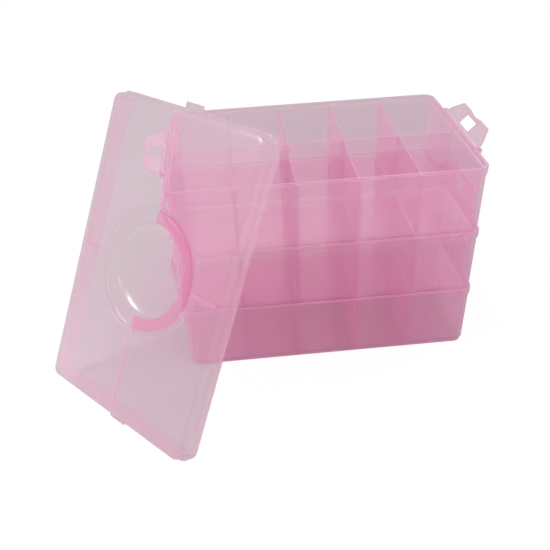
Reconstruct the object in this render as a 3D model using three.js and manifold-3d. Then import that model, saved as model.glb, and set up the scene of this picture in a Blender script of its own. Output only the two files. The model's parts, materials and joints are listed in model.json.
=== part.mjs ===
// A stacking bobbin and notions organiser: three clear pink trays of ten compartments,
// a lift-off lid with a fold-down handle, and a wide flip clip on each short end of each tray.
// Millimetres, +Z up, +X along the box. The origin is the middle of the bottom tray's underside.
import * as THREE from 'three';
import Module from 'manifold-3d';
import { mergeVertices } from 'three/addons/utils/BufferGeometryUtils.js';

const wasm = await Module();
wasm.setup();

// The outer size of every rim band, and the tray moulding.
const LENGTH = 255;
const WIDTH = 168;
const CORNER = 10;
const TRAY_H = 61;
const FLOOR = 1.8;
const REBATE = 3.2;
const SEAT_GAP = 0.3;
const PITCH = TRAY_H - REBATE + SEAT_GAP;
const BAND_H = 6.6;
const FOOT_H = 3.1;
const DIVIDER_TOP = TRAY_H - REBATE - 1.2;

// Compartments: five along, two across.
const COLUMNS = 5;
const COLUMN_PITCH = 49.4;
const CENTRE_T = 1.6;
const DIVIDER_T = 1.2;
const SLOT = 1.8;
const RIB_W = 1.0;
const RIB_REACH = 1.6;

// Flip clips and the tabs they catch.
const AXIS_OUT = 2.7;
const BARREL_R = 2.2;
const BARREL_HALF = 42;
const PIN_R = 1.0;
const PIN_REACH = 3.6;
const CLIP_LONG = 17;
const CLIP_TIP_HALF = 30;
const WINDOW_LOW = 2.8;
const WINDOW_HIGH = 12.2;
const TAB_W = 18;
const TAB_OUT = 4.8;
const TAB_ROOT = 1.3;

// Lid, its round recess and the handle.
const LID_H = 17;
const LID_FLANGE = 8;
const LIP = 2.4;
const PLATE = 2;
const DISH_R = 51;
const DISH_FLOOR = 12.5;
const BOWL_R = 37;
const BOWL_LOW = 6.2;
const BAIL_IN = 38.5;
const BAIL_OUT = 47.5;
const BAIL_T = 3.8;
const BAIL_AXIS = 14.8;
const BAIL_PIN_R = 0.9;
const RIB_H = 0.5;

// How the lid leans on the front left corner of the top tray.
const LID_TURN = -0.798;
const LID_LEAN = 0.495;
const LID_REST_Z = 2.4;
const TOUCH_GAP = 0.45;
const LID_SLIP = -0.27;

// Clip angles above the level, in degrees, as they rest.
const RIGHT_TOP = 44;
const LEFT_TOP = 6;
const RELEASED = 62;

const RIM_Z = 2 * PITCH + TRAY_H;

const pink = new THREE.MeshStandardMaterial({ color: 0xe6a6c3, roughness: 0.3 });
const clipPink = new THREE.MeshStandardMaterial({ color: 0xdcb4c9, roughness: 0.35 });

function solid(geometry) {
  const bare = geometry.clone();
  bare.deleteAttribute('normal');
  bare.deleteAttribute('uv');
  const merged = mergeVertices(bare, 1e-5);
  return new wasm.Manifold(new wasm.Mesh({
    numProp: 3,
    vertProperties: new Float32Array(merged.attributes.position.array),
    triVerts: new Uint32Array(merged.index.array),
  }));
}

function toGeometry(body) {
  const mesh = body.getMesh();
  const geometry = new THREE.BufferGeometry();
  geometry.setAttribute('position', new THREE.BufferAttribute(mesh.vertProperties, 3));
  geometry.setIndex(new THREE.BufferAttribute(mesh.triVerts, 1));
  const flat = geometry.toNonIndexed();
  flat.computeVertexNormals();
  return flat;
}

function join(bodies) {
  return bodies.reduce((sum, body) => sum.add(body));
}

function block(x0, x1, y0, y1, z0, z1) {
  const g = new THREE.BoxGeometry(x1 - x0, y1 - y0, z1 - z0);
  g.translate((x0 + x1) / 2, (y0 + y1) / 2, (z0 + z1) / 2);
  return solid(g);
}

// One level of a rounded rectangle, set in from the rim band's outline.
function ringPoints(inset, z) {
  const radius = Math.max(CORNER - inset, 2);
  const cx = LENGTH / 2 - inset - radius;
  const cy = WIDTH / 2 - inset - radius;
  const steps = 5;
  const points = [];
  const corners = [[cx, cy, 0], [-cx, cy, 1], [-cx, -cy, 2], [cx, -cy, 3]];
  for (const [x, y, quarter] of corners) {
    for (let i = 0; i <= steps; i += 1) {
      const a = (quarter + i / steps) * Math.PI / 2;
      points.push([x + radius * Math.cos(a), y + radius * Math.sin(a), z]);
    }
  }
  return points;
}

// A solid through levels of [inset, z], capped at both ends.
function loft(levels) {
  const rings = levels.map(([inset, z]) => ringPoints(inset, z));
  const n = rings[0].length;
  const position = rings.flat(2);
  const index = [];
  for (let k = 0; k + 1 < rings.length; k += 1) {
    for (let i = 0; i < n; i += 1) {
      const a = k * n + i;
      const b = k * n + (i + 1) % n;
      index.push(a, b, b + n, a, b + n, a + n);
    }
  }
  const top = (rings.length - 1) * n;
  for (let i = 1; i + 1 < n; i += 1) {
    index.push(0, i + 1, i, top, top + i, top + i + 1);
  }
  const g = new THREE.BufferGeometry();
  g.setAttribute('position', new THREE.Float32BufferAttribute(position, 3));
  g.setIndex(index);
  return solid(g);
}

// A profile of [x, z] points pushed through y.
function prism(profile, y0, y1) {
  const shape = new THREE.Shape(profile.map(([x, z]) => new THREE.Vector2(x, z)));
  const g = new THREE.ExtrudeGeometry(shape, { depth: y1 - y0, bevelEnabled: false });
  g.rotateX(Math.PI / 2);
  g.translate(0, y1, 0);
  return solid(g);
}

function rodY(x, z, radius, y0, y1, sides = 16) {
  const g = new THREE.CylinderGeometry(radius, radius, y1 - y0, sides);
  g.translate(x, (y0 + y1) / 2, z);
  return solid(g);
}

function rodX(y, z, radius, x0, x1, sides = 16) {
  const g = new THREE.CylinderGeometry(radius, radius, x1 - x0, sides);
  g.rotateZ(Math.PI / 2);
  g.translate((x0 + x1) / 2, y, z);
  return solid(g);
}

function lathe(profile, sides = 48) {
  const g = new THREE.LatheGeometry(profile.map(([r, z]) => new THREE.Vector2(r, z)), sides);
  g.rotateX(Math.PI / 2);
  return solid(g);
}

function mirrorX(body) {
  return body.mirror([1, 0, 0]);
}

// Tray pieces

function columnEdges() {
  const edges = [];
  for (let i = 1; i < COLUMNS; i += 1) {
    edges.push((i - COLUMNS / 2) * COLUMN_PITCH);
  }
  return edges;
}

function trayShell() {
  const outer = loft([
    [3.4, 0], [2.9, 0.6], [2.8, FOOT_H], [1.7, FOOT_H + 1], [1.0, TRAY_H - BAND_H - 0.6],
    [0, TRAY_H - BAND_H], [0, TRAY_H],
  ]);
  const hollow = loft([
    [5.6, FLOOR], [4.9, FLOOR + 1.2], [4.4, TRAY_H - REBATE],
    [2.4, TRAY_H - REBATE], [2.4, TRAY_H + 1],
  ]);
  return outer.subtract(hollow);
}

function grooveRibs() {
  const ribs = [];
  const z0 = FLOOR - 0.4;
  const near = SLOT / 2;
  const far = near + RIB_W;
  const wall = WIDTH / 2 - 4;
  const reach = wall - 0.9 - RIB_REACH;
  for (const x of columnEdges()) {
    for (const [a, b] of [[x - far, x - near], [x + near, x + far]]) {
      ribs.push(block(a, b, reach, wall, z0, DIVIDER_TOP));
      ribs.push(block(a, b, -wall, -reach, z0, DIVIDER_TOP));
      ribs.push(block(a, b, -RIB_REACH - 0.8, RIB_REACH + 0.8, z0, DIVIDER_TOP - 0.4));
    }
  }
  return ribs;
}

// The catch tab low on an end wall, which the clip of the tray below snaps over. It is a body of
// its own, a small gap off the drafted wall.
function trayCatch() {
  const root = LENGTH / 2 - TAB_ROOT;
  const out = LENGTH / 2 + TAB_OUT;
  return prism([[root, 6.0], [out, 9.9], [out, 11.4], [root, 11.4]], -TAB_W / 2, TAB_W / 2);
}

// The two lugs near the rim that carry a clip's pins.

function clipLugs() {
  const x = LENGTH / 2 + AXIS_OUT;
  const z = TRAY_H - REBATE;
  const y0 = BARREL_HALF + 0.4;
  const y1 = BARREL_HALF + 4.2;
  const one = join([
    rodY(x, z, 2.7, y0, y1),
    block(LENGTH / 2 - 0.6, x, y0, y1, z - 2.7, z + 2.7),
  ]).subtract(rodY(x, z, PIN_R + 0.35, y0 - 1, y1 + 1));
  return one.add(one.mirror([0, 1, 0]));
}

function trayBody() {
  const end = LENGTH / 2 - 4;
  const spine = block(-end, end, -CENTRE_T / 2, CENTRE_T / 2, FLOOR - 0.4, DIVIDER_TOP);
  const lugs = clipLugs();
  return join([trayShell(), spine, ...grooveRibs(), lugs, mirrorX(lugs)]);
}

function dividerBody(x, side) {
  const y0 = CENTRE_T / 2 + 0.3;
  const y1 = WIDTH / 2 - 5.7;
  const z0 = FLOOR + 0.3;
  const cut = 2;
  const shape = new THREE.Shape();
  shape.moveTo(y0, z0 + cut);
  shape.lineTo(y0 + cut, z0);
  shape.lineTo(y1 - cut, z0);
  shape.lineTo(y1, z0 + cut);
  shape.lineTo(y1, DIVIDER_TOP - 1);
  shape.lineTo(y1 - 1, DIVIDER_TOP);
  shape.lineTo(y0 + 1, DIVIDER_TOP);
  shape.lineTo(y0, DIVIDER_TOP - 1);
  const g = new THREE.ExtrudeGeometry(shape, { depth: DIVIDER_T, bevelEnabled: false });
  g.rotateX(Math.PI / 2);
  g.rotateZ(Math.PI / 2);
  g.translate(x - DIVIDER_T / 2, 0, 0);
  const body = solid(g);
  return side > 0 ? body : body.mirror([0, 1, 0]);
}

// A flip clip. Its pins lie on Y through the origin and its plate stands up along Z.
function clipOutline() {
  const shape = new THREE.Shape();
  const root = BARREL_HALF;
  const tip = CLIP_TIP_HALF;
  shape.moveTo(-root, 0);
  shape.lineTo(root, 0);
  shape.lineTo(root, 3);
  shape.quadraticCurveTo(root - 1, 6, root - 4, 9);
  shape.lineTo(tip + 3, CLIP_LONG - 4);
  shape.quadraticCurveTo(tip, CLIP_LONG, tip - 5, CLIP_LONG);
  shape.lineTo(12, CLIP_LONG);
  shape.quadraticCurveTo(8, CLIP_LONG, 6, CLIP_LONG - 1.2);
  shape.lineTo(-6, CLIP_LONG - 1.2);
  shape.quadraticCurveTo(-8, CLIP_LONG, -12, CLIP_LONG);
  shape.lineTo(-tip + 5, CLIP_LONG);
  shape.quadraticCurveTo(-tip, CLIP_LONG, -tip - 3, CLIP_LONG - 4);
  shape.lineTo(-root + 4, 9);
  shape.quadraticCurveTo(-root + 1, 6, -root, 3);
  return shape;
}

function clipBody() {
  const g = new THREE.ExtrudeGeometry(clipOutline(), {
    depth: 2, bevelEnabled: false, curveSegments: 4,
  });
  // Shape x runs along Y, shape y runs up Z, and the plate lies from x = -1.4 to 0.6.
  g.rotateX(Math.PI / 2);
  g.rotateZ(Math.PI / 2);
  g.translate(-1.4, 0, 0);
  const plate = solid(g);
  const barrel = rodY(0, 0, BARREL_R, -BARREL_HALF, BARREL_HALF);
  const pins = rodY(0, 0, PIN_R, -BARREL_HALF - PIN_REACH, BARREL_HALF + PIN_REACH, 12);
  const finger = block(-0.2, 2.2, -26, 26, CLIP_LONG - 3.4, CLIP_LONG - 1.6);
  const window_ = block(-4, 4, -12, 12, WINDOW_LOW, WINDOW_HIGH);
  return join([plate, barrel, pins, finger]).subtract(window_);
}

// Lid, in its own closed frame: underside of the flange at z = 0, top at LID_H.

function lidDish() {
  const wall = 1.4;
  const bowl = [];
  const under = [];
  for (let i = 0; i <= 6; i += 1) {
    const a = (i / 6) * Math.PI / 2;
    bowl.push([BOWL_R * Math.sin(a), DISH_FLOOR - (DISH_FLOOR - BOWL_LOW) * Math.cos(a)]);
    under.push([
      (BOWL_R + wall) * Math.sin(a),
      DISH_FLOOR - 1.6 - (DISH_FLOOR - BOWL_LOW) * Math.cos(a),
    ]);
  }
  const pocket = [...bowl, [DISH_R - 0.6, DISH_FLOOR], [DISH_R, LID_H + 1], [0, LID_H + 1]];
  const cup = [
    ...under, [DISH_R + 0.8, DISH_FLOOR - 1.6], [DISH_R + wall, LID_H - 1], [0, LID_H - 1],
  ];
  return { cup: lathe(cup), pocket: lathe(pocket) };
}

function lidTab() {
  const out = LENGTH / 2 + TAB_OUT;
  return prism([[126, 4.3], [out, 6.3], [out, 7.8], [126, 7.8]], -TAB_W / 2, TAB_W / 2);
}

function handleBoss() {
  return block(48.1, DISH_R - 0.2, -3, 3, DISH_FLOOR - 0.4, LID_H - 0.5);
}

function lidRibs() {
  const z0 = LID_H - 0.6;
  const z1 = LID_H + RIB_H;
  const start = DISH_R + 1.5;
  const along = block(start, LENGTH / 2 - 6, -0.7, 0.7, z0, z1);
  const across = block(-0.7, 0.7, start, WIDTH / 2 - 6, z0, z1);
  return [along, mirrorX(along), across, across.mirror([0, 1, 0])];
}

function lidBody() {
  const outer = loft([
    [3, -LIP], [3, 0], [0, 0], [0, LID_FLANGE], [2, LID_FLANGE + 0.6],
    [2.6, LID_H - 1.6], [3.2, LID_H - 0.5], [4.4, LID_H],
  ]);
  const hollow = loft([
    [4.4, -LIP - 1], [4.6, LID_H - PLATE - 1.2], [5.8, LID_H - PLATE],
  ]);
  const { cup, pocket } = lidDish();
  const shell = outer.subtract(hollow);
  const parts = [lidTab(), mirrorX(lidTab()), ...lidRibs()];
  const hole = rodX(0, BAIL_AXIS, BAIL_PIN_R + 0.4, 47, DISH_R - 0.6, 12);
  return join([shell.add(cup).subtract(pocket), ...parts, handleBoss(), mirrorX(handleBoss())])
    .subtract(hole)
    .subtract(mirrorX(hole));
}

// The handle: a half ring folded towards -Y, with a pin at each end on the lid's long axis.
function handleBody() {
  const shape = new THREE.Shape();
  shape.absarc(0, 0, BAIL_OUT, Math.PI, 2 * Math.PI, false);
  shape.lineTo(BAIL_IN, 0);
  shape.absarc(0, 0, BAIL_IN, 2 * Math.PI, Math.PI, true);
  const g = new THREE.ExtrudeGeometry(shape, {
    depth: BAIL_T, bevelEnabled: false, curveSegments: 32,
  });
  g.translate(0, 0, BAIL_AXIS - BAIL_T / 2);
  const end = rodX(0, BAIL_AXIS, BAIL_T / 2, BAIL_IN, BAIL_OUT);
  const pin = rodX(0, BAIL_AXIS, BAIL_PIN_R, BAIL_OUT - 2, BAIL_OUT + 2.3, 12);
  return join([solid(g), end, mirrorX(end), pin, mirrorX(pin)]);
}

// Where the leaning lid's frame sits: its length runs up the lean and its top faces outwards.
function lidFrame() {
  const turn = LID_TURN;
  const edge = new THREE.Vector3(Math.cos(turn), Math.sin(turn), 0);
  const back = new THREE.Vector3(-Math.sin(turn), Math.cos(turn), 0);
  const rise = back.clone().multiplyScalar(Math.sin(LID_LEAN));
  rise.z = Math.cos(LID_LEAN);
  const out = back.clone().multiplyScalar(-Math.cos(LID_LEAN));
  out.z = Math.sin(LID_LEAN);
  const rim = CORNER * (1 - Math.SQRT1_2);
  const touch = new THREE.Vector3(-LENGTH / 2 + rim, -WIDTH / 2 + rim, RIM_Z);
  const depth = LID_H - PLATE - TOUCH_GAP;
  // The middle of the flange's rear face: on the floor along its low edge, clear of the corner.
  const middle = rise.clone().multiplyScalar(LENGTH / 2);
  middle.z += LID_REST_Z;
  const need = touch.clone().sub(middle).dot(out) - depth;
  const along = out.clone().setZ(0);
  const shift = along.clone().multiplyScalar(need / along.dot(along));
  middle.add(shift);
  const wanted = touch.clone().sub(middle).dot(edge) - LID_SLIP;
  middle.add(edge.clone().multiplyScalar(wanted));
  const frame = new THREE.Matrix4().makeBasis(rise, edge.clone().negate(), out);
  frame.setPosition(middle);
  return frame;
}

const group = new THREE.Group();
group.name = 'bobbin_box';

function place(name, body, matrix, material = pink) {
  const geometry = toGeometry(body);
  if (matrix) {
    geometry.applyMatrix4(matrix);
  }
  const mesh = new THREE.Mesh(geometry, material);
  mesh.name = name;
  group.add(mesh);
}

function clipMatrix(side, level, degrees) {
  const lean = THREE.MathUtils.degToRad(90 - degrees);
  const x = LENGTH / 2 + AXIS_OUT;
  const z = level * PITCH + TRAY_H - REBATE;
  const move = new THREE.Matrix4().makeTranslation(x, 0, z);
  const turn = new THREE.Matrix4().makeRotationY(lean);
  const flip = new THREE.Matrix4().makeRotationZ(side > 0 ? 0 : Math.PI);
  return flip.multiply(move).multiply(turn);
}

const levels = ['bottom', 'middle', 'top'];
const tray = trayBody();
const catchTab = trayCatch();
levels.forEach((level, k) => {
  const up = new THREE.Matrix4().makeTranslation(0, 0, k * PITCH);
  place(`${level}_tray`, tray, up);
  place(`${level}_catch_right`, catchTab, up);
  place(`${level}_catch_left`, mirrorX(catchTab), up);
  columnEdges().forEach((x, i) => {
    place(`${level}_divider_front_${i + 1}`, dividerBody(x, -1), up);
    place(`${level}_divider_back_${i + 1}`, dividerBody(x, 1), up);
  });
});

const clip = clipBody();
place('bottom_clip_right', clip, clipMatrix(1, 0, RELEASED), clipPink);
place('bottom_clip_left', clip, clipMatrix(-1, 0, RELEASED), clipPink);
place('middle_clip_right', clip, clipMatrix(1, 1, RELEASED), clipPink);
place('middle_clip_left', clip, clipMatrix(-1, 1, RELEASED), clipPink);
place('top_clip_right', clip, clipMatrix(1, 2, RIGHT_TOP), clipPink);
place('top_clip_left', clip, clipMatrix(-1, 2, LEFT_TOP), clipPink);

place('lid', lidBody(), lidFrame());
place('handle', handleBody(), lidFrame(), clipPink);

export default group;
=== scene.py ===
# %% [markdown]
# A clear pink bobbin box, moulded in polypropylene: three stacked trays of ten cells, a loose
# lid that leans on one corner, a half-ring handle in the lid and six flip clips.
# The frame already holds every piece at its true size and place. This lesson builds a finer
# moulding for each one, with the rounded edges and drafted walls that a mould gives, and then
# mixes a clear plastic that lets the layers behind show through.

# %% Load the frame
import json
import math

import bmesh
import bpy
from mathutils import Matrix, Vector

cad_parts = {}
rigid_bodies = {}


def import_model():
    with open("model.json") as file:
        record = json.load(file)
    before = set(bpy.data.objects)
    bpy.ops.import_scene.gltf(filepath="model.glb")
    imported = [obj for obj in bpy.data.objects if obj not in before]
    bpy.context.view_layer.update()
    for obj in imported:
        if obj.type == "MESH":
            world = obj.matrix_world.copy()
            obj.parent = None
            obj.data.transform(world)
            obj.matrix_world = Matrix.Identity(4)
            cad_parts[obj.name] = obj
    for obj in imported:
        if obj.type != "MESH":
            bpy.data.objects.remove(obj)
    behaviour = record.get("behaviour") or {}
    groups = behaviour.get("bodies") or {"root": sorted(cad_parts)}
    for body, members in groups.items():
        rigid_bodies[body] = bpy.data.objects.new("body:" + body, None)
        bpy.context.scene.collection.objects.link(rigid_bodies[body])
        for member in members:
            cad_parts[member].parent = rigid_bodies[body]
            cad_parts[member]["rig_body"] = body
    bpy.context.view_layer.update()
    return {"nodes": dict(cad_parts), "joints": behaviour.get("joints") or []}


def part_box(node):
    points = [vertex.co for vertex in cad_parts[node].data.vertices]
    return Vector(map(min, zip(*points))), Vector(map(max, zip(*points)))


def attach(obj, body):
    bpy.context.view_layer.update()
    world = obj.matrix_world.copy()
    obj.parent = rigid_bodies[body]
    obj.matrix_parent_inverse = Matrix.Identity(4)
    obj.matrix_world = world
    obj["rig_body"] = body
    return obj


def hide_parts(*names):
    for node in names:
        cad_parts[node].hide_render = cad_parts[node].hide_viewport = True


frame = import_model()
joints = {j["name"]: j for j in frame["joints"]}
MM = 0.001

# %% [markdown]
# Every tray and the lid share one outline: a rectangle with rounded corners. Moulders draw such
# a part as a section that runs round that outline, so this lesson does the same. A section is a
# list of (inset, height) points in millimetres, measured in from the rim band and up from the
# foot. A real mould can't hold a razor edge, so each corner of a section gets a small radius.

# %% Sections with softened corners
LENGTH, WIDTH, CORNER = 255.0, 168.0, 10.0
CORNER_STEPS = 9
ARC_STEPS = 4
SHORT_EDGE = 0.48  # a rounded corner takes less than half of the edge beside it


def softened(section):
    """Rounds a list of (x, y, radius) corners into a smooth list of (x, y) points."""
    done = []
    for i, (x, y, radius) in enumerate(section):
        here = Vector((x, y))
        if not radius or i in (0, len(section) - 1):
            done.append(here)
            continue
        before = Vector(section[i - 1][:2]) - here
        after = Vector(section[i + 1][:2]) - here
        reach = min(radius, before.length * SHORT_EDGE, after.length * SHORT_EDGE)
        start = here + before.normalized() * reach
        end = here + after.normalized() * reach
        for k in range(ARC_STEPS + 1):
            t = k / ARC_STEPS
            done.append(start * (1 - t) ** 2 + here * 2 * t * (1 - t) + end * t ** 2)
    return done


def outline(inset, height):
    """One level of the rounded rectangle, as points in metres."""
    radius = max(CORNER - inset, 1.6)
    cx, cy = LENGTH / 2 - inset - radius, WIDTH / 2 - inset - radius
    points = []
    for quarter, (x, y) in enumerate([(cx, cy), (-cx, cy), (-cx, -cy), (cx, -cy)]):
        for k in range(CORNER_STEPS + 1):
            a = (quarter + k / CORNER_STEPS) * math.pi / 2
            points.append(Vector((x + radius * math.cos(a), y + radius * math.sin(a), height)) * MM)
    return points


def circle(radius, height, sides=96):
    turns = [2 * math.pi * k / sides for k in range(sides)]
    return [Vector((radius * math.cos(a), radius * math.sin(a), height)) * MM for a in turns]


print("one outline has", len(outline(0, 0)), "points")

# %% [markdown]
# Two helpers turn levels into a closed skin: each level is joined to the next with four-sided
# faces, and the first and last are capped. A mesh made this way has no stray faces inside, which
# matters here because a clear plastic would show them. Pieces that meet, such as a wall and its
# ribs, are joined with exact Booleans, so that nothing is left inside the wall either.

# %% Skins and Booleans
WELD = 2e-6
CRISP = math.radians(34)


def mesh_object(name, mesh):
    made = bpy.data.objects.new(name, mesh)
    bpy.context.scene.collection.objects.link(made)
    return made


def skin(levels, name="skin"):
    """A closed object through rings of points that all have the same count."""
    shape = bmesh.new()
    rings = [[shape.verts.new(p) for p in level] for level in levels]
    for low, high in zip(rings, rings[1:]):
        for i in range(len(low)):
            j = (i + 1) % len(low)
            shape.faces.new((low[i], low[j], high[j], high[i]))
    shape.faces.new(rings[0][::-1])
    shape.faces.new(rings[-1])
    bmesh.ops.recalc_face_normals(shape, faces=shape.faces)
    mesh = bpy.data.meshes.new(name)
    shape.to_mesh(mesh)
    shape.free()
    return mesh_object(name, mesh)


def shell(section, name="shell"):
    return skin([outline(p.x, p.y) for p in softened(section)], name)


def spun(section, name="spun"):
    return skin([circle(p.x, p.y) for p in softened(section)], name)


def rod(start, end, radius, sides=24, name="rod"):
    """A round bar between two points in millimetres, with a small chamfer at each end."""
    a, b = Vector(start), Vector(end)
    turn = (b - a).to_track_quat("Z", "Y")
    edge = min(0.25, radius * 0.3)
    length = (b - a).length
    levels = []
    ends = [(radius - edge, 0), (radius, edge), (radius, length - edge), (radius - edge, length)]
    for r, z in ends:
        levels.append([(turn @ (p / MM) + a) * MM for p in circle(r, z, sides)])
    return skin(levels, name)


def block(low, high, edge=0.3, name="block"):
    """A box between two corners in millimetres, with its edges rounded."""
    shape = bmesh.new()
    bmesh.ops.create_cube(shape, size=1)
    low, high = Vector(low) * MM, Vector(high) * MM
    for v in shape.verts:
        v.co = Vector([l + (c + 0.5) * (h - l) for c, l, h in zip(v.co, low, high)])
    if edge:
        bmesh.ops.bevel(shape, geom=shape.edges[:], offset=edge * MM, segments=2,
                        profile=0.6, affect="EDGES")
    mesh = bpy.data.meshes.new(name)
    shape.to_mesh(mesh)
    shape.free()
    return mesh_object(name, mesh)


def drop(thing):
    mesh = thing.data
    bpy.data.objects.remove(thing)
    if mesh.users == 0:
        (bpy.data.curves if isinstance(mesh, bpy.types.Curve) else bpy.data.meshes).remove(mesh)


def settled(thing):
    """The same object with its modifiers turned into plain mesh."""
    seen = thing.evaluated_get(bpy.context.evaluated_depsgraph_get())
    mesh = bpy.data.meshes.new_from_object(seen)
    made = mesh_object(thing.name + "_done", mesh)
    made.matrix_world = thing.matrix_world.copy()
    drop(thing)
    return made


def merged(things):
    """Several separate objects as one mesh of loose parts, ready to be one Boolean's tool."""
    shape = bmesh.new()
    for thing in things:
        copy = thing.data.copy()
        copy.transform(thing.matrix_world)
        shape.from_mesh(copy)
        bpy.data.meshes.remove(copy)
        drop(thing)
    mesh = bpy.data.meshes.new("merged")
    shape.to_mesh(mesh)
    shape.free()
    return mesh_object("merged", mesh)


def combine(base, tool, way):
    step = base.modifiers.new(way, "BOOLEAN")
    step.operation, step.solver, step.object = way, "EXACT", tool
    bpy.context.view_layer.update()
    made = settled(base)
    drop(tool)
    return made


def join(base, tool):
    return combine(base, tool, "UNION")


def cut(base, tool):
    return combine(base, tool, "DIFFERENCE")


def flipped(thing, axis):
    """A mirrored copy of a piece, across the plane square to X or Y."""
    mesh = thing.data.copy()
    factors = [-1 if name == axis else 1 for name in "XYZ"]
    mesh.transform(Matrix.Diagonal((*factors, 1)))
    mesh.flip_normals()
    return mesh_object(thing.name + "_mirrored", mesh)


def cleaned(thing):
    """Takes a finished mesh out of its object, welded, with its crisp edges marked."""
    mesh = thing.data
    bpy.data.objects.remove(thing)
    shape = bmesh.new()
    shape.from_mesh(mesh)
    bmesh.ops.remove_doubles(shape, verts=shape.verts, dist=WELD)
    bmesh.ops.dissolve_degenerate(shape, dist=WELD / 2, edges=shape.edges)
    bmesh.ops.recalc_face_normals(shape, faces=shape.faces)
    shape.to_mesh(mesh)
    shape.free()
    mesh.shade_smooth()
    mesh.set_sharp_from_angle(angle=CRISP)
    return mesh


# %% [markdown]
# A flat moulded plate, such as a clip or a handle, is easiest to draw as its outline. A filled
# 2D curve gives exactly that: its extrusion is the thickness, and its own bevel rounds both
# edges all the way round, holes included.

# %% Plates drawn as outlines
def plate(outlines, thickness, edge, name="plate"):
    """A plate in the XY plane, centred on z = 0. The first outline is the edge, others are holes."""
    curve = bpy.data.curves.new(name, "CURVE")
    curve.dimensions, curve.fill_mode = "2D", "BOTH"
    curve.extrude = (thickness / 2 - edge) * MM
    curve.bevel_depth, curve.bevel_resolution = edge * MM, 2
    curve.offset = -edge * MM
    for points in outlines:
        line = curve.splines.new("POLY")
        line.points.add(len(points) - 1)
        for spot, (x, y) in zip(line.points, points):
            spot.co = (x * MM, y * MM, 0, 1)
        line.use_cyclic_u = True
    made = settled(mesh_object(name, curve))
    shape = bmesh.new()
    shape.from_mesh(made.data)
    bmesh.ops.remove_doubles(shape, verts=shape.verts, dist=WELD)
    bmesh.ops.recalc_face_normals(shape, faces=shape.faces)
    shape.to_mesh(made.data)
    shape.free()
    return made


def turned(thing, matrix):
    thing.data.transform(matrix)
    return thing


def rounded_box_outline(half_x, y0, y1, radius, steps=5):
    """A rectangle with round corners, drawn anticlockwise."""
    points = []
    spots = [(half_x - radius, y1 - radius), (-half_x + radius, y1 - radius),
             (-half_x + radius, y0 + radius), (half_x - radius, y0 + radius)]
    for quarter, (x, y) in enumerate(spots):
        for k in range(steps + 1):
            a = (quarter + k / steps) * math.pi / 2
            points.append((x + radius * math.cos(a), y + radius * math.sin(a)))
    return points


# %% [markdown]
# The tray. Its section starts in the middle of the underside, rounds the foot, climbs the
# drafted wall, steps out to the rim band, crosses the rim, drops to the seat where the next
# tray's foot stands, and comes down inside to the floor. One skin makes all of it, about 2 mm
# thick, the way the melt fills the mould.

# %% The tray shell
TRAY_H, FLOOR, REBATE = 61.0, 1.8, 3.2
BAND_H, FOOT_H = 6.6, 3.1
SEAT = TRAY_H - REBATE
DIVIDER_TOP = SEAT - 1.2
# How far each stretch of wall stands in from the rim band.
FOOT_IN, WALL_LOW_IN, WALL_TOP_IN = 2.8, 1.7, 1.0
SEAT_IN, INNER_TOP_IN, INNER_FOOT_IN, NEAR_MIDDLE = 2.4, 4.4, 4.9, 30
# Each corner is (inset, height, radius), from the underside round to the floor.
tray_section = [
    (NEAR_MIDDLE, 0.0, 0), (6, 0.0, 0), (FOOT_IN + 0.1, 0.0, 2.0), (FOOT_IN, FOOT_H, 0.4),
    (WALL_LOW_IN, FOOT_H + 1, 0.8), (WALL_TOP_IN, TRAY_H - BAND_H - 0.6, 0.4),
    (0, TRAY_H - BAND_H, 0.7), (0, TRAY_H, 0.8), (SEAT_IN, TRAY_H, 0.6), (SEAT_IN, SEAT, 0.3),
    (INNER_TOP_IN, SEAT, 0.6), (INNER_FOOT_IN, FLOOR, 2.6), (NEAR_MIDDLE, FLOOR, 0),
]
tray = shell(tray_section, "tray")
print("tray shell:", len(tray.data.polygons), "faces")

# %% [markdown]
# Inside it stand the centre wall and, at each column, pairs of small ribs that hold a cross
# divider between them. Outside, each short end has a ramped catch tab low down, for the clip of
# the tray below, and two lugs near the rim with a hole each for the clip's pins.

# %% Centre wall, ribs, tabs and lugs
COLUMNS, COLUMN_PITCH = 5, 49.4
COLUMN_EDGES = [(i - COLUMNS / 2) * COLUMN_PITCH for i in range(1, COLUMNS)]
SLOT_HALF, RIB_W, RIB_REACH, RIB_SOFT = 0.9, 1.0, 2.9, 0.25
CENTRE_HALF = 0.8
AXIS_OUT, BARREL_HALF = 2.7, 42.0
LUG_R, LUG_GAP, LUG_W, LUG_HOLE_R = 2.7, 0.4, 3.8, 1.35
TAB_W, TAB_OUT, TAB_RAMP, TAB_T = 18, 4.8, 3.9, 1.5
TRAY_TAB_LOW = 6.0


def divider_ribs():
    """Two ribs a side at each column, on both long walls and both faces of the centre wall."""
    ribs = []
    wall = WIDTH / 2 - 3.6
    foot = FLOOR - 0.5
    for x in COLUMN_EDGES:
        for a in (x - SLOT_HALF - RIB_W, x + SLOT_HALF):
            b = a + RIB_W
            ribs.append(block((a, wall - RIB_REACH, foot), (b, wall, DIVIDER_TOP), RIB_SOFT))
            ribs.append(block((a, -wall, foot), (b, -wall + RIB_REACH, DIVIDER_TOP), RIB_SOFT))
            ribs.append(block((a, -2.4, foot), (b, 2.4, DIVIDER_TOP - 0.4), RIB_SOFT))
    return ribs


def ramped_tab(wall_x, low, ramp):
    """A catch tab: flat on top, sloping underneath, so that a clip rides over it and snaps."""
    out_x = LENGTH / 2 + TAB_OUT
    top = low + ramp + TAB_T
    side = [(wall_x, low), (out_x, low + ramp), (out_x, top), (wall_x, top)]
    flat = plate([side], TAB_W, 0.35, "tab")
    return turned(flat, Matrix.Rotation(math.pi / 2, 4, "X"))


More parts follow.
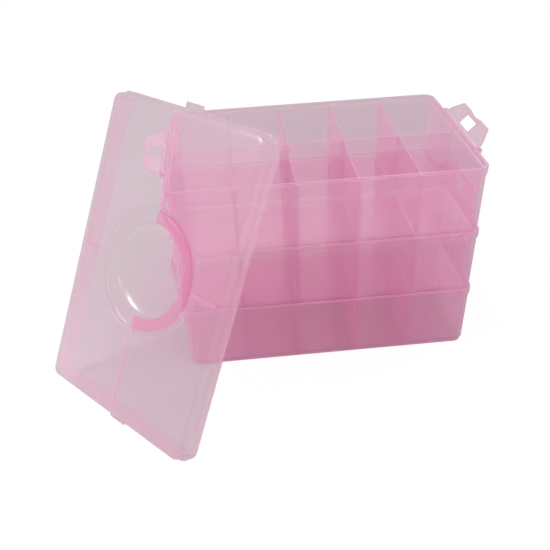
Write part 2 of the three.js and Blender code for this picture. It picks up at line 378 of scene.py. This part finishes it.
def clip_lug(side):
    """A round ear on the rim band with a hole for the clip's pin."""
    x, z = LENGTH / 2 + AXIS_OUT, SEAT
    near = BARREL_HALF + LUG_GAP
    y0, y1 = sorted((side * near, side * (near + LUG_W)))
    root = block((LENGTH / 2 - 1.2, y0, z - LUG_R + 0.1), (x, y1, z + LUG_R - 0.1))
    ear = join(rod((x, y0, z), (x, y1, z), LUG_R, 28), root)
    return cut(ear, rod((x, y0 - 1, z), (x, y1 + 1, z), LUG_HOLE_R, 20))


spine_end = LENGTH / 2 - 3.8
spine = block((-spine_end, -CENTRE_HALF, FLOOR - 0.5), (spine_end, CENTRE_HALF, DIVIDER_TOP), 0.35)
tray = join(tray, spine)
tray = join(tray, merged(divider_ribs()))
end_parts = merged([
    ramped_tab(LENGTH / 2 - 4.2, TRAY_TAB_LOW, TAB_RAMP),
    clip_lug(1), clip_lug(-1),
])
tray = join(tray, flipped(end_parts, "X"))
tray = join(tray, end_parts)
tray_mesh = cleaned(tray)
print("tray:", len(tray_mesh.polygons), "faces")

# %% [markdown]
# The underside of a moulded tray always tells how it was made: it has the round marks of the
# pins that pushed the part out of the mould. They are thin discs joined to the floor.

# %% Ejector marks
EJECTOR_R, EJECTOR_DEPTH, EJECTOR_Y = 4.0, 0.12, 42
ejectors = [(x * COLUMN_PITCH, y) for x in (-2, -1, 1, 2) for y in (-EJECTOR_Y, EJECTOR_Y)]


def marked(mesh, spots):
    """Adds faint ejector discs under a floor."""
    inside = 0.3
    profile = [(0.3, inside, 0), (EJECTOR_R, inside, 0), (EJECTOR_R, -EJECTOR_DEPTH, 0.1),
               (0.3, -EJECTOR_DEPTH, 0)]
    discs = [turned(spun(profile), Matrix.Translation((x * MM, y * MM, 0))) for x, y in spots]
    return cleaned(join(mesh_object("marked", mesh), merged(discs)))


tray_mesh = marked(tray_mesh, ejectors)
print("marked tray:", len(tray_mesh.polygons), "faces")

# %% [markdown]
# A cross divider is a thin plate with rounded edges and two clipped lower corners that help it
# into its groove. All twenty-four are the same one.

# %% Divider plate
DIVIDER_T = 1.2
# Stands a plate drawn in XY upright, its width along Y and its height along Z.
UPRIGHT = Matrix.Rotation(math.pi / 2, 4, "Z") @ Matrix.Rotation(math.pi / 2, 4, "X")


def divider_plate():
    y0, y1, z0 = CENTRE_HALF + 0.3, WIDTH / 2 - 5.7, FLOOR + 0.3
    low, top = 2.0, 1.0
    edge = [(y0 + low, z0), (y1 - low, z0), (y1, z0 + low), (y1, DIVIDER_TOP - top),
            (y1 - top, DIVIDER_TOP), (y0 + top, DIVIDER_TOP), (y0, DIVIDER_TOP - top), (y0, z0 + low)]
    flat = plate([edge], DIVIDER_T, 0.3, "divider")
    return turned(flat, UPRIGHT)


back_divider = divider_plate()
front_divider_mesh = cleaned(flipped(back_divider, "Y"))
back_divider_mesh = cleaned(back_divider)
print("divider:", len(back_divider_mesh.polygons), "faces")

# %% [markdown]
# The flip clip is a wide plate that narrows towards the finger edge, with a window that drops
# over a catch tab and a barrel along its root. Its outline is drawn once, the thumb dip in the
# free edge included, and a lip with two short ridges gives the finger some grip.

# %% Flip clip
CLIP_LONG = 17.0
WINDOW_HALF, WINDOW_LOW, WINDOW_HIGH = 12, 2.8, 12.2
PLATE_T, PLATE_BACK = 2.0, 1.4
BARREL_R, PIN_R, PIN_END = 2.2, 1.0, 45.6


def bent(points, steps=6):
    """Rounds an outline's corners: (x, y, radius) in, (x, y) out, closed."""
    done = []
    n = len(points)
    for i, (x, y, radius) in enumerate(points):
        here = Vector((x, y))
        before = Vector(points[i - 1][:2]) - here
        after = Vector(points[(i + 1) % n][:2]) - here
        reach = min(radius, before.length * SHORT_EDGE, after.length * SHORT_EDGE)
        if reach < 0.05:
            done.append((x, y))
            continue
        start = here + before.normalized() * reach
        end = here + after.normalized() * reach
        for k in range(steps + 1):
            t = k / steps
            p = start * (1 - t) ** 2 + here * 2 * t * (1 - t) + end * t ** 2
            done.append((p.x, p.y))
    return done


def clip_mesh():
    tip = CLIP_LONG
    # Each corner is (along the pins, out from them, radius), for one half; the other mirrors it.
    right = [(BARREL_HALF, 0, 0.4), (BARREL_HALF, 4.5, 2.5), (37.5, 9.5, 4), (33, 13.5, 3),
             (30, tip, 3.5), (WINDOW_HALF, tip, 5), (6.5, tip - 1.3, 4)]
    left = [(-x, y, r) for x, y, r in reversed(right)]
    edge = bent(right + left)
    window = rounded_box_outline(WINDOW_HALF, WINDOW_LOW, WINDOW_HIGH, 1.0)[::-1]
    flat = plate([edge, window], PLATE_T, 0.45, "clip")
    back = Matrix.Translation(((PLATE_T / 2 - PLATE_BACK) * MM, 0, 0))
    flat = turned(flat, back @ UPRIGHT)
    clip = join(flat, rod((0, -BARREL_HALF, 0), (0, BARREL_HALF, 0), BARREL_R, 28))
    clip = join(clip, rod((0, -PIN_END, 0), (0, PIN_END, 0), PIN_R, 20))
    ridges = [block((-0.2, s * 20 - 6, tip - 4.2), (1.2, s * 20 + 6, tip - 3.5)) for s in (1, -1)]
    lip = block((-0.2, -26, tip - 2.5), (2.2, 26, tip - 1.6), 0.35)
    return cleaned(join(clip, merged([lip] + ridges)))


clip_shape = clip_mesh()
print("clip:", len(clip_shape.polygons), "faces")

# %% [markdown]
# The lid is a shallow cap: a flange that rests on the rim, a stepped skirt with a rounded top
# edge, and a thin lip inside the flange that locates it. Its section is lofted like the tray's.
# The round recess is spun on its own and joined in from below, then its hollow is cut out from
# above, so that the wall of the dish stays an even thickness.

# %% Lid shell, recess and stiffening lines
LID_H, FLANGE, LIP, LID_PLATE = 17.0, 8.0, 2.4, 2.0
DISH_R, DISH_FLOOR = 51.0, 12.5
BOWL_R, BOWL_LOW = 37.0, 6.2
BAIL_AXIS = 14.8


def bowl_curve(radius, floor, low, steps=12):
    """Half of a shallow bowl's section, from its middle out to its rim."""
    points = []
    for k in range(steps + 1):
        a = k / steps * math.pi / 2
        points.append((max(radius * math.sin(a), 0.4), floor - (floor - low) * math.cos(a), 0))
    return points


LIP_IN, DISH_WALL = 3.0, 1.4
lid_section = [
    (40, LID_H, 0), (8, LID_H, 0), (2.9, LID_H, 2.6), (2.0, FLANGE + 0.5, 0.6), (0, FLANGE, 0.8),
    (0, 0, 0.7), (LIP_IN, 0, 0.3), (LIP_IN, -LIP, 0.5), (LIP_IN + 1.4, -LIP, 0.5),
    (4.7, LID_H - LID_PLATE, 2.4), (40, LID_H - LID_PLATE, 0),
]
lid = shell(lid_section, "lid")
under = DISH_FLOOR - 1.6
cup_wall = [(DISH_R + DISH_WALL, under, 1.2), (DISH_R + 1.5, LID_H - 0.9, 0), (0.4, LID_H - 0.9, 0)]
cup = spun(bowl_curve(BOWL_R + DISH_WALL, under, BOWL_LOW - 1.6) + cup_wall)
pocket_wall = [(DISH_R - 0.6, DISH_FLOOR, 1.2), (DISH_R - 0.1, LID_H, 0.9), (DISH_R + 3, LID_H + 0.02, 0),
               (DISH_R + 3, LID_H + 3, 0), (0.4, LID_H + 3, 0)]
pocket = spun(bowl_curve(BOWL_R, DISH_FLOOR, BOWL_LOW) + pocket_wall)
lid = cut(join(lid, cup), pocket)
print("lid shell:", len(lid.data.polygons), "faces")


LINE_W, LINE_LOW, LINE_HIGH = 3.0, LID_H - 0.6, LID_H + 0.42
LINE_START = DISH_R + 1.5


def stiffening_line(turns, end):
    """A low raised bar from the recess towards an edge, turned by quarter turns."""
    bar = block((LINE_START, -LINE_W / 2, LINE_LOW), (end, LINE_W / 2, LINE_HIGH))
    return turned(bar, Matrix.Rotation(turns * math.pi / 2, 4, "Z"))


def bail_boss(side):
    x0, x1 = sorted((side * 48.1, side * (DISH_R - 0.1)))
    return block((x0, -3, DISH_FLOOR - 0.5), (x1, 3, LID_H - 0.5), 0.5)


HOLE_START, HOLE_R = 47, 1.3
lines = [stiffening_line(k, (WIDTH if k % 2 else LENGTH) / 2 - 6) for k in range(4)]
lid_tab = ramped_tab(LENGTH / 2 - 1.2, 4.3, 2.0)
lid_tabs = merged([flipped(lid_tab, "X"), lid_tab])
lid = join(join(lid, merged(lines + [bail_boss(1), bail_boss(-1)])), lid_tabs)
hole_end = DISH_R - 0.6
holes = [rod((s * HOLE_START, 0, BAIL_AXIS), (s * hole_end, 0, BAIL_AXIS), HOLE_R, 20) for s in (1, -1)]
lid = cut(lid, merged(holes))
lid_mesh = cleaned(lid)
print("lid:", len(lid_mesh.polygons), "faces")

# %% [markdown]
# The handle is half a ring that lies in the recess. Its outline is two arcs, the plate's bevel
# gives it the soft edge a hand likes, and two barrels with pins close its ends.

# %% Handle
def arc(radius, start, end, steps=48):
    turns = [start + (end - start) * k / steps for k in range(steps + 1)]
    return [(radius * math.cos(a), radius * math.sin(a)) for a in turns]


BAIL_IN, BAIL_OUT, BAIL_T = 38.5, 47.5, 3.8
BAIL_PIN_R, BAIL_PIN_END = 0.9, 49.8


def both_ends(start, end, radius, sides):
    """The same short rod at each end of the handle, along its pin line."""
    spots = [((s * start, 0, BAIL_AXIS), (s * end, 0, BAIL_AXIS)) for s in (1, -1)]
    return merged([rod(a, b, radius, sides) for a, b in spots])


def handle_mesh():
    ring = arc(BAIL_OUT, math.pi, 2 * math.pi) + arc(BAIL_IN, 2 * math.pi, math.pi)
    flat = plate([ring], BAIL_T, 1.1, "handle")
    turned(flat, Matrix.Translation((0, 0, BAIL_AXIS * MM)))
    ends = both_ends(BAIL_IN, BAIL_OUT, BAIL_T / 2, 28)
    pins = both_ends(BAIL_OUT - 2.5, BAIL_PIN_END, BAIL_PIN_R, 20)
    return cleaned(join(join(flat, ends), pins))


bail_mesh = handle_mesh()
print("handle:", len(bail_mesh.polygons), "faces")

# %% [markdown]
# Shader maths reads best as ordinary sums. This small class wraps one socket: adding or
# multiplying two of them adds the Math node, and its one method makes any other node.

# %% Sockets that do arithmetic
class Wire:
    """One output socket of a material's nodes."""

    def __init__(self, tree, socket=None):
        self.tree, self.socket = tree, socket

    def node(self, kind, settings=None, values=None):
        """Adds a node: its settings first, then its sockets. Returns the node."""
        made = self.tree.nodes.new("ShaderNode" + kind)
        for name, value in (settings or {}).items():
            if name == "stops":
                ramp = made.color_ramp.elements
                for k, (place, level) in enumerate(value):
                    stop = ramp[k] if k < len(ramp) else ramp.new(place)
                    stop.position, stop.color = place, (level, level, level, 1)
            else:
                setattr(made, name, value)
        for name, value in (values or {}).items():
            if isinstance(value, Wire):
                self.tree.links.new(value.socket, made.inputs[name])
            elif value is not None:
                made.inputs[name].default_value = value
        return made

    def out(self, made, name=0):
        return Wire(self.tree, made.outputs[name])

    def maths(self, operation, a, b=None):
        values = {0: a} if b is None else {0: a, 1: b}
        return self.out(self.node("Math", {"operation": operation}, values))

    def __add__(self, other):
        return self.maths("ADD", self, other)

    __radd__ = __add__

    def __sub__(self, other):
        return self.maths("SUBTRACT", self, other)

    def __rsub__(self, other):
        return self.maths("SUBTRACT", other, self)

    def __mul__(self, other):
        return self.maths("MULTIPLY", self, other)

    __rmul__ = __mul__

    def __truediv__(self, other):
        return self.maths("DIVIDE", self, other)

    def __rtruediv__(self, other):
        return self.maths("DIVIDE", other, self)

    def __pow__(self, other):
        return self.maths("POWER", self, other)

    def __rpow__(self, other):
        return self.maths("POWER", other, self)

    def parts(self, vector):
        split = self.node("SeparateXYZ", {}, {0: vector})
        return {axis: self.out(split, axis) for axis in "XYZ"}

    def clamped(self):
        made = self.maths("ADD", self, 0.0)
        made.socket.node.use_clamp = True
        return made


def noise(start, place, scale, detail=3.0, stretch=None):
    """Smooth noise from 0 to 1 at a number of waves a metre, optionally stretched."""
    if stretch is not None:
        place = start.out(start.node("VectorMath", {"operation": "MULTIPLY"}, {0: place, 1: stretch}))
    made = start.node("TexNoise", {}, {"Vector": place, "Scale": scale, "Detail": detail})
    return start.out(made, "Fac")


def between(start, factor, first, second):
    """A colour mixed from two by a factor."""
    made = start.node("Mix", {"data_type": "RGBA"}, {0: factor, 6: first, 7: second})
    return start.out(made, 2)


# %% [markdown]
# Clear coloured polypropylene isn't glass. Light goes through it, but some is scattered on the
# way, so one layer looks pale and milky, and each further layer adds colour until it is a
# saturated pink. A thin straight-through share does this well: at each surface part of what is
# behind shows, and the rest is the plastic's own scattered light, half thrown back and half
# passed on. Seen edge-on a wall is a longer way through, so its cover rises with the slope, and
# so does the share of the room that its polished skin mirrors. Where a moulding is thick, at a
# rim, a step or a stiffening line, it hides more of what is behind, and its colour is drawn to an
# edge colour: a painted pale highlight line on rims, ledges, divider tops and clip edges, and a
# deeper pink along the lid's stiffening lines.
# Flow lines, a faint orange peel and handling scratches keep it from looking like film.

# %% Clear polypropylene
BARE_GLOSS, SLOPE_GLOSS = 0.06, 0.55
TINT = (1.0, 0.985, 0.99, 1)
INDEX = 1.49


def ledges(place, normal):
    """Where a tray or a divider has level faces above its floor: rims, steps and top edges."""
    level = (normal["Z"] * normal["Z"] * 2 - 0.7).clamped()
    above_floor = ((place["Z"] - 4 * MM) * 800).clamped()
    return level * above_floor


def raised_lines(place, normal):
    """Where the lid's stiffening lines stand up from its plate."""
    return ((place["Z"] - (LID_H + 0.12) * MM) * 8000).clamped()


def rounds(place, normal):
    """Where a flat plate's face turns over its edge."""
    return (1.2 - normal["X"] * normal["X"] * 2).clamped()


def even(place, normal):
    """A piece that's thick all over gets no edge colour and no added cover anywhere."""
    return place["Z"] * 0.0


def clear_plastic(name, deep, pale, cover, thick, catch, highlight_and_line_tone, grazing=0.10):
    """cover: how much one face hides of what is behind. thick: where the moulding is thick; there it
    hides more and its colour is drawn to the edge colour, a painted highlight line where that
    colour is pale, and catch: how much more it hides there. grazing: the least slope that counts
    when a wall is seen edge-on."""
    glow, gloss = 0.45, 0.16
    material = bpy.data.materials.new(name)
    material.use_nodes = True
    tree = material.node_tree
    tree.nodes.clear()
    start = Wire(tree)
    where = start.node("TexCoord")
    place = start.out(where, "Object")
    highlight_and_thick_mask = thick(start.parts(place), start.parts(start.out(where, "Normal")))
    drift = noise(start, place, 14.0, 2.0)
    flow = noise(start, place, 30.0, 3.0, (1.0, 0.25, 3.0))
    peel = noise(start, place, 420.0, 1.0)
    fine = noise(start, place, 260.0, 5.0)
    streak = noise(start, place, 90.0, 8.0, (1.0, 14.0, 14.0))
    scratch = start.node("ValToRGB", {"stops": [(0.62, 0.0), (0.70, 1.0)]}, {"Fac": streak})
    scratch = start.out(start.node("RGBToBW", {}, {"Color": start.out(scratch)}))
    colour = between(start, (drift * 0.6 + flow * 0.5 - 0.05).clamped(), deep, pale)
    # At thick edges the colour is drawn to the edge colour: a painted pale highlight line on trays,
    # dividers and clips, and a deeper pink along the lid's stiffening lines.
    colour = between(start, (highlight_and_thick_mask * 0.8).clamped(), colour, highlight_and_line_tone)
    facing = start.out(start.node("LayerWeight", {}, {"Blend": 0.5}), "Facing")
    slope = start.maths("MAXIMUM", 1 - facing, grazing)
    opacity = 1 - (1 - cover) ** (1 / slope)
    opacity = opacity * (0.94 + drift * 0.12) + scratch * 0.02
    opacity = (opacity + highlight_and_thick_mask * catch * (1 - opacity)).clamped()
    height = peel * 0.12 + flow * 0.6 + scratch * -0.2
    bump = start.out(start.node("Bump", {}, {"Strength": 0.05, "Distance": 0.0005, "Height": height}))
    rough = (gloss + fine * 0.10 + scratch * 0.12).clamped()
    body = start.out(start.node("BsdfPrincipled", {}, {
        "Base Color": colour, "Roughness": rough, "Normal": bump, "IOR": INDEX}))
    passed = start.out(start.node("BsdfTranslucent", {}, {"Color": pale}))
    scattered = start.out(start.node("MixShader", {}, {0: glow, 1: body, 2: passed}))
    clear = start.out(start.node("BsdfTransparent", {}, {"Color": TINT}))
    wall = start.out(start.node("MixShader", {}, {0: opacity, 1: clear, 2: scattered}))
    mirror = start.out(start.node("BsdfAnisotropic", {}, {"Roughness": rough}))
    shine = (BARE_GLOSS + facing ** 5 * SLOPE_GLOSS).clamped()
    surface = start.out(start.node("MixShader", {}, {0: shine, 1: wall, 2: mirror}))
    start.node("OutputMaterial", {}, {"Surface": surface})
    return material


TRAY_PINK = ((0.995, 0.29, 0.62, 1), (1.0, 0.37, 0.70, 1))
LID_PINK = ((0.99, 0.54, 0.75, 1), (1.0, 0.64, 0.82, 1))
CLIP_PINK = ((0.92, 0.58, 0.76, 1), (0.96, 0.68, 0.82, 1))
HANDLE_PINK = ((0.99, 0.26, 0.58, 1), (1.0, 0.34, 0.65, 1))
# Edge colours: the pale one paints a highlight line on rims, ledges and clip edges; the pink one deepens
# the lid's stiffening lines.
PALE_PAINTED_HIGHLIGHT = (1.0, 0.66, 0.86, 1)
DEEP_LINE_PINK = (0.98, 0.38, 0.64, 1)
tray_plastic = clear_plastic("tray_polypropylene", *TRAY_PINK, 0.10, ledges, 0.25, PALE_PAINTED_HIGHLIGHT)
lid_plastic = clear_plastic("lid_polypropylene", *LID_PINK, 0.10, raised_lines, 0.35, DEEP_LINE_PINK, 0.35)
divider_plastic = clear_plastic("divider_polypropylene", *TRAY_PINK, 0.08, ledges, 0.35, PALE_PAINTED_HIGHLIGHT)
clip_plastic = clear_plastic("clip_polypropylene", *CLIP_PINK, 0.22, rounds, 0.15, PALE_PAINTED_HIGHLIGHT)
handle_plastic = clear_plastic("handle_polypropylene", *HANDLE_PINK, 0.20, even, 0.0, PALE_PAINTED_HIGHLIGHT)
print("plastics:", len(bpy.data.materials))

# %% [markdown]
# Each finished mesh now takes the place of its frame node. The trays differ only in height, so
# they share a mesh. A weighted-normal modifier keeps the large flat faces flat while the small
# radii around them stay round.

# %% Place the trays and dividers
def placed(name, mesh, matrix, node, plastic):
    """Puts a mesh where its frame node is, and lets it ride on that node's body."""
    if not mesh.materials:
        mesh.materials.append(plastic)
    piece = mesh_object(name, mesh)
    piece.matrix_world = matrix
    flat = piece.modifiers.new("flat_faces_stay_flat", "WEIGHTED_NORMAL")
    flat.keep_sharp = True
    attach(piece, frame["nodes"][node]["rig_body"])
    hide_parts(node)
    return piece


for level in ("bottom", "middle", "top"):
    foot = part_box(f"{level}_tray")[0].z
    moulding = placed(f"{level}_tray_moulding", tray_mesh, Matrix.Translation((0, 0, foot)),
                      f"{level}_tray", tray_plastic)
    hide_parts(f"{level}_catch_right")
    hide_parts(f"{level}_catch_left")
    for i, x in enumerate(COLUMN_EDGES, 1):
        spot = Matrix.Translation((x * MM, 0, foot))
        placed(f"{level}_front_divider_{i}", front_divider_mesh, spot,
               f"{level}_divider_front_{i}", divider_plastic)
        placed(f"{level}_back_divider_{i}", back_divider_mesh, spot,
               f"{level}_divider_back_{i}", divider_plastic)

# %% [markdown]
# A clip's place comes from its hinge: the joint gives the pin line, and the frame's own clip
# shows how far it is swung open, so the angle is read from where its free edge lies.

# %% Place the clips
AT_THE_TIP = 0.985


def clip_place(level, side):
    joint = joints[f"{level}_clip_{side}_flip"]
    pin = Vector(joint["pos_m"])
    out = 1 if side == "right" else -1
    # The inner corner of the frame's clip is CLIP_LONG from the pins and PLATE_BACK off them.
    points = [v.co - pin for v in frame["nodes"][f"{level}_clip_{side}"].data.vertices]
    tips = [p for p in points if math.hypot(p.x, p.z) > AT_THE_TIP * CLIP_LONG * MM]
    inner = max(tips, key=lambda p: math.atan2(p.z, out * p.x))
    lean = math.atan2(inner.z, out * inner.x) - math.atan2(PLATE_BACK, CLIP_LONG)
    turn = Matrix.Rotation(math.pi / 2 - lean, 4, "Y")
    face = Matrix.Rotation(0 if out > 0 else math.pi, 4, "Z")
    print(level, side, "clip stands at", round(math.degrees(lean), 1), "degrees")
    return Matrix.Translation(pin) @ face @ turn


for level in ("bottom", "middle", "top"):
    for side in ("right", "left"):
        placed(f"{level}_{side}_flip_clip", clip_shape, clip_place(level, side),
               f"{level}_clip_{side}", clip_plastic)

# %% [markdown]
# The lid leans, so its frame is turned about all three axes. The handle's hinge gives it away:
# its axis runs up the lid, the lid's short edge is level, and the lid faces square to both.

# %% Place the lid and its handle
hinge = joints["handle_fold"]
rise = -Vector(hinge["axis"]).normalized()
edge = rise.cross(Vector((0, 0, 1))).normalized()
facing_out = edge.cross(rise)
foot_of_lid = Vector(hinge["pos_m"]) - facing_out * BAIL_AXIS * MM
lid_axes = Matrix((rise, -edge, facing_out)).transposed()
lid_place = Matrix.Translation(foot_of_lid) @ lid_axes.to_4x4()
placed("lid_moulding", lid_mesh, lid_place, "lid", lid_plastic)
placed("carry_handle", bail_mesh, lid_place, "handle", handle_plastic)
print("lid leans", round(math.degrees(math.acos(rise.z)), 1), "degrees from upright")

# %% [markdown]
# A clear object shows best on paper that reads white on its own and a soft grey through the
# plastic. So the floor and the room are lit to a middle level, and where they are seen bare, with
# no clear wall in front, they are lifted to white. The room is an even soft light, a wide lamp
# gives the rims their lines of light, and a small one is set so that it glints in the lid's bowl.

# %% Floor and room
ROOM_LIGHT, SEEN_THROUGH, WHITE = 0.61, 0.48, 1.0
FEW_WALLS, MANY_WALLS = 1.35, 9
FLOOR_HALF, FLOOR_T, FLOOR_GAP = 6.0, 0.02, 0.0002


def seen(start):
    """Three masks: seen bare by the viewer, seen at all, and seen through only a few walls."""
    path = start.node("LightPath")
    viewer = start.out(path, "Is Camera Ray")
    depth = start.out(path, "Transparent Depth")
    through = start.maths("GREATER_THAN", depth, 0.5)
    return viewer * (1 - through), viewer, viewer * (FEW_WALLS - depth / MANY_WALLS).clamped()


def floor_material():
    material = bpy.data.materials.new("floor_paper")
    material.use_nodes = True
    tree = material.node_tree
    tree.nodes.clear()
    start = Wire(tree)
    place = start.out(start.node("TexCoord"), "Object")
    grain = noise(start, place, 40.0, 4.0)
    colour = between(start, grain, (0.90, 0.90, 0.90, 1), (0.93, 0.93, 0.93, 1))
    body = start.out(start.node("BsdfPrincipled", {}, {
        "Base Color": colour, "Roughness": 0.9, "Specular IOR Level": 0.1}))
    bare, _, few = seen(start)
    dark = start.out(start.node("Emission", {}, {"Strength": 0.0}))
    greyed = start.out(start.node("MixShader", {}, {0: few * 0.34, 1: body, 2: dark}))
    lifted = start.out(start.node("Emission", {}, {"Strength": 1.3}))
    surface = start.out(start.node("MixShader", {}, {0: bare * 0.65, 1: greyed, 2: lifted}))
    start.node("OutputMaterial", {}, {"Surface": surface})
    return material


corners = [(x * FLOOR_HALF, y * FLOOR_HALF) for x, y in ((-1, -1), (1, -1), (1, 1), (-1, 1))]
floor = skin([[Vector((x, y, z)) for x, y in corners] for z in (-FLOOR_T, -FLOOR_GAP)], "floor")
floor.data.materials.append(floor_material())

world = bpy.data.worlds.new("soft_white_room")
bpy.context.scene.world = world
world.use_nodes = True
world.node_tree.nodes.clear()
sky = Wire(world.node_tree)


def backdrop(strength):
    return sky.out(sky.node("Background", {}, {"Color": (1, 1, 1, 1), "Strength": strength}))


room, grey, white = backdrop(ROOM_LIGHT), backdrop(SEEN_THROUGH), backdrop(WHITE)
bare, viewer, _ = seen(sky)
behind = sky.out(sky.node("MixShader", {}, {0: viewer, 1: room, 2: grey}))
light_seen = sky.out(sky.node("MixShader", {}, {0: bare, 1: behind, 2: white}))
sky.node("OutputWorld", {}, {"Surface": light_seen})


# %% [markdown]
# Three area lamps. Each is placed by where it shines from and aimed at the piece it is for. A
# large, near lamp gives soft shadows, and a small one gives a glint with a clear edge.

# %% Lamps
def softbox(name, where, target, size, power):
    light = bpy.data.lights.new(name, "AREA")
    light.shape, light.size, light.size_y = "RECTANGLE", size[0], size[1]
    light.energy = power
    lamp = mesh_object(name, light)
    lamp.location = where
    lamp.rotation_euler = (Vector(target) - Vector(where)).to_track_quat("-Z", "Y").to_euler()


MIDDLE = (0, 0, 0.1)
BOWL = (-0.15, -0.1, 0.09)
softbox("key_softbox", (0.5, -0.9, 1.3), MIDDLE, (0.7, 0.5), 4)
softbox("glint_softbox", (-1.0, -0.2, 1.0), BOWL, (0.34, 0.34), 6)
softbox("back_softbox", (0.2, 1.2, 1.1), MIDDLE, (1.2, 0.6), 3)
print("lamps:", len(bpy.data.lights))

# %% [markdown]
# The camera stands in front, above and a little to the left, and looks down on the box. It is
# turned slightly to the right and tilted a little about its own line of sight, as a camera held
# in the hand is. The lens is a short portrait lens, so the far rim looks only a little smaller.

# %% Camera
CAMERA_AT = (-0.07224, -0.53704, 0.41089)
LOOK_DOWN, LOOK_RIGHT, TILT = 0.6094, 0.0591, -0.0514
SENSOR_W, FOCAL_SHARE = 36, 1.20824
camera_data = bpy.data.cameras.new("camera")
camera_data.sensor_width = SENSOR_W
camera_data.lens = SENSOR_W * FOCAL_SHARE
camera = mesh_object("camera", camera_data)
level_ahead = Vector((math.sin(LOOK_RIGHT), math.cos(LOOK_RIGHT), 0))
ahead = level_ahead * math.cos(LOOK_DOWN) - Vector((0, 0, math.sin(LOOK_DOWN)))
across = Vector((math.cos(LOOK_RIGHT), -math.sin(LOOK_RIGHT), 0))
above = across.cross(ahead)
tilted_across = across * math.cos(TILT) + above * math.sin(TILT)
tilted_above = above * math.cos(TILT) - across * math.sin(TILT)
camera_axes = Matrix((tilted_across, tilted_above, -ahead)).transposed()
camera.matrix_world = Matrix.Translation(CAMERA_AT) @ camera_axes.to_4x4()
bpy.context.scene.camera = camera
print("lens:", round(camera_data.lens, 1), "mm")

# %% [markdown]
# Light crosses dozens of clear walls before it leaves the stack, and each wall that it meets
# counts as a bounce. The limits are raised so that the deep layers don't turn black.

# %% Bounces and view
scene = bpy.context.scene
scene.view_settings.view_transform = "Standard"
scene.cycles.transparent_max_bounces = 512
scene.cycles.max_bounces = 40
scene.cycles.diffuse_bounces = 32
scene.cycles.glossy_bounces = 6
scene.cycles.transmission_bounces = 12
print("bounces:", scene.cycles.max_bounces)
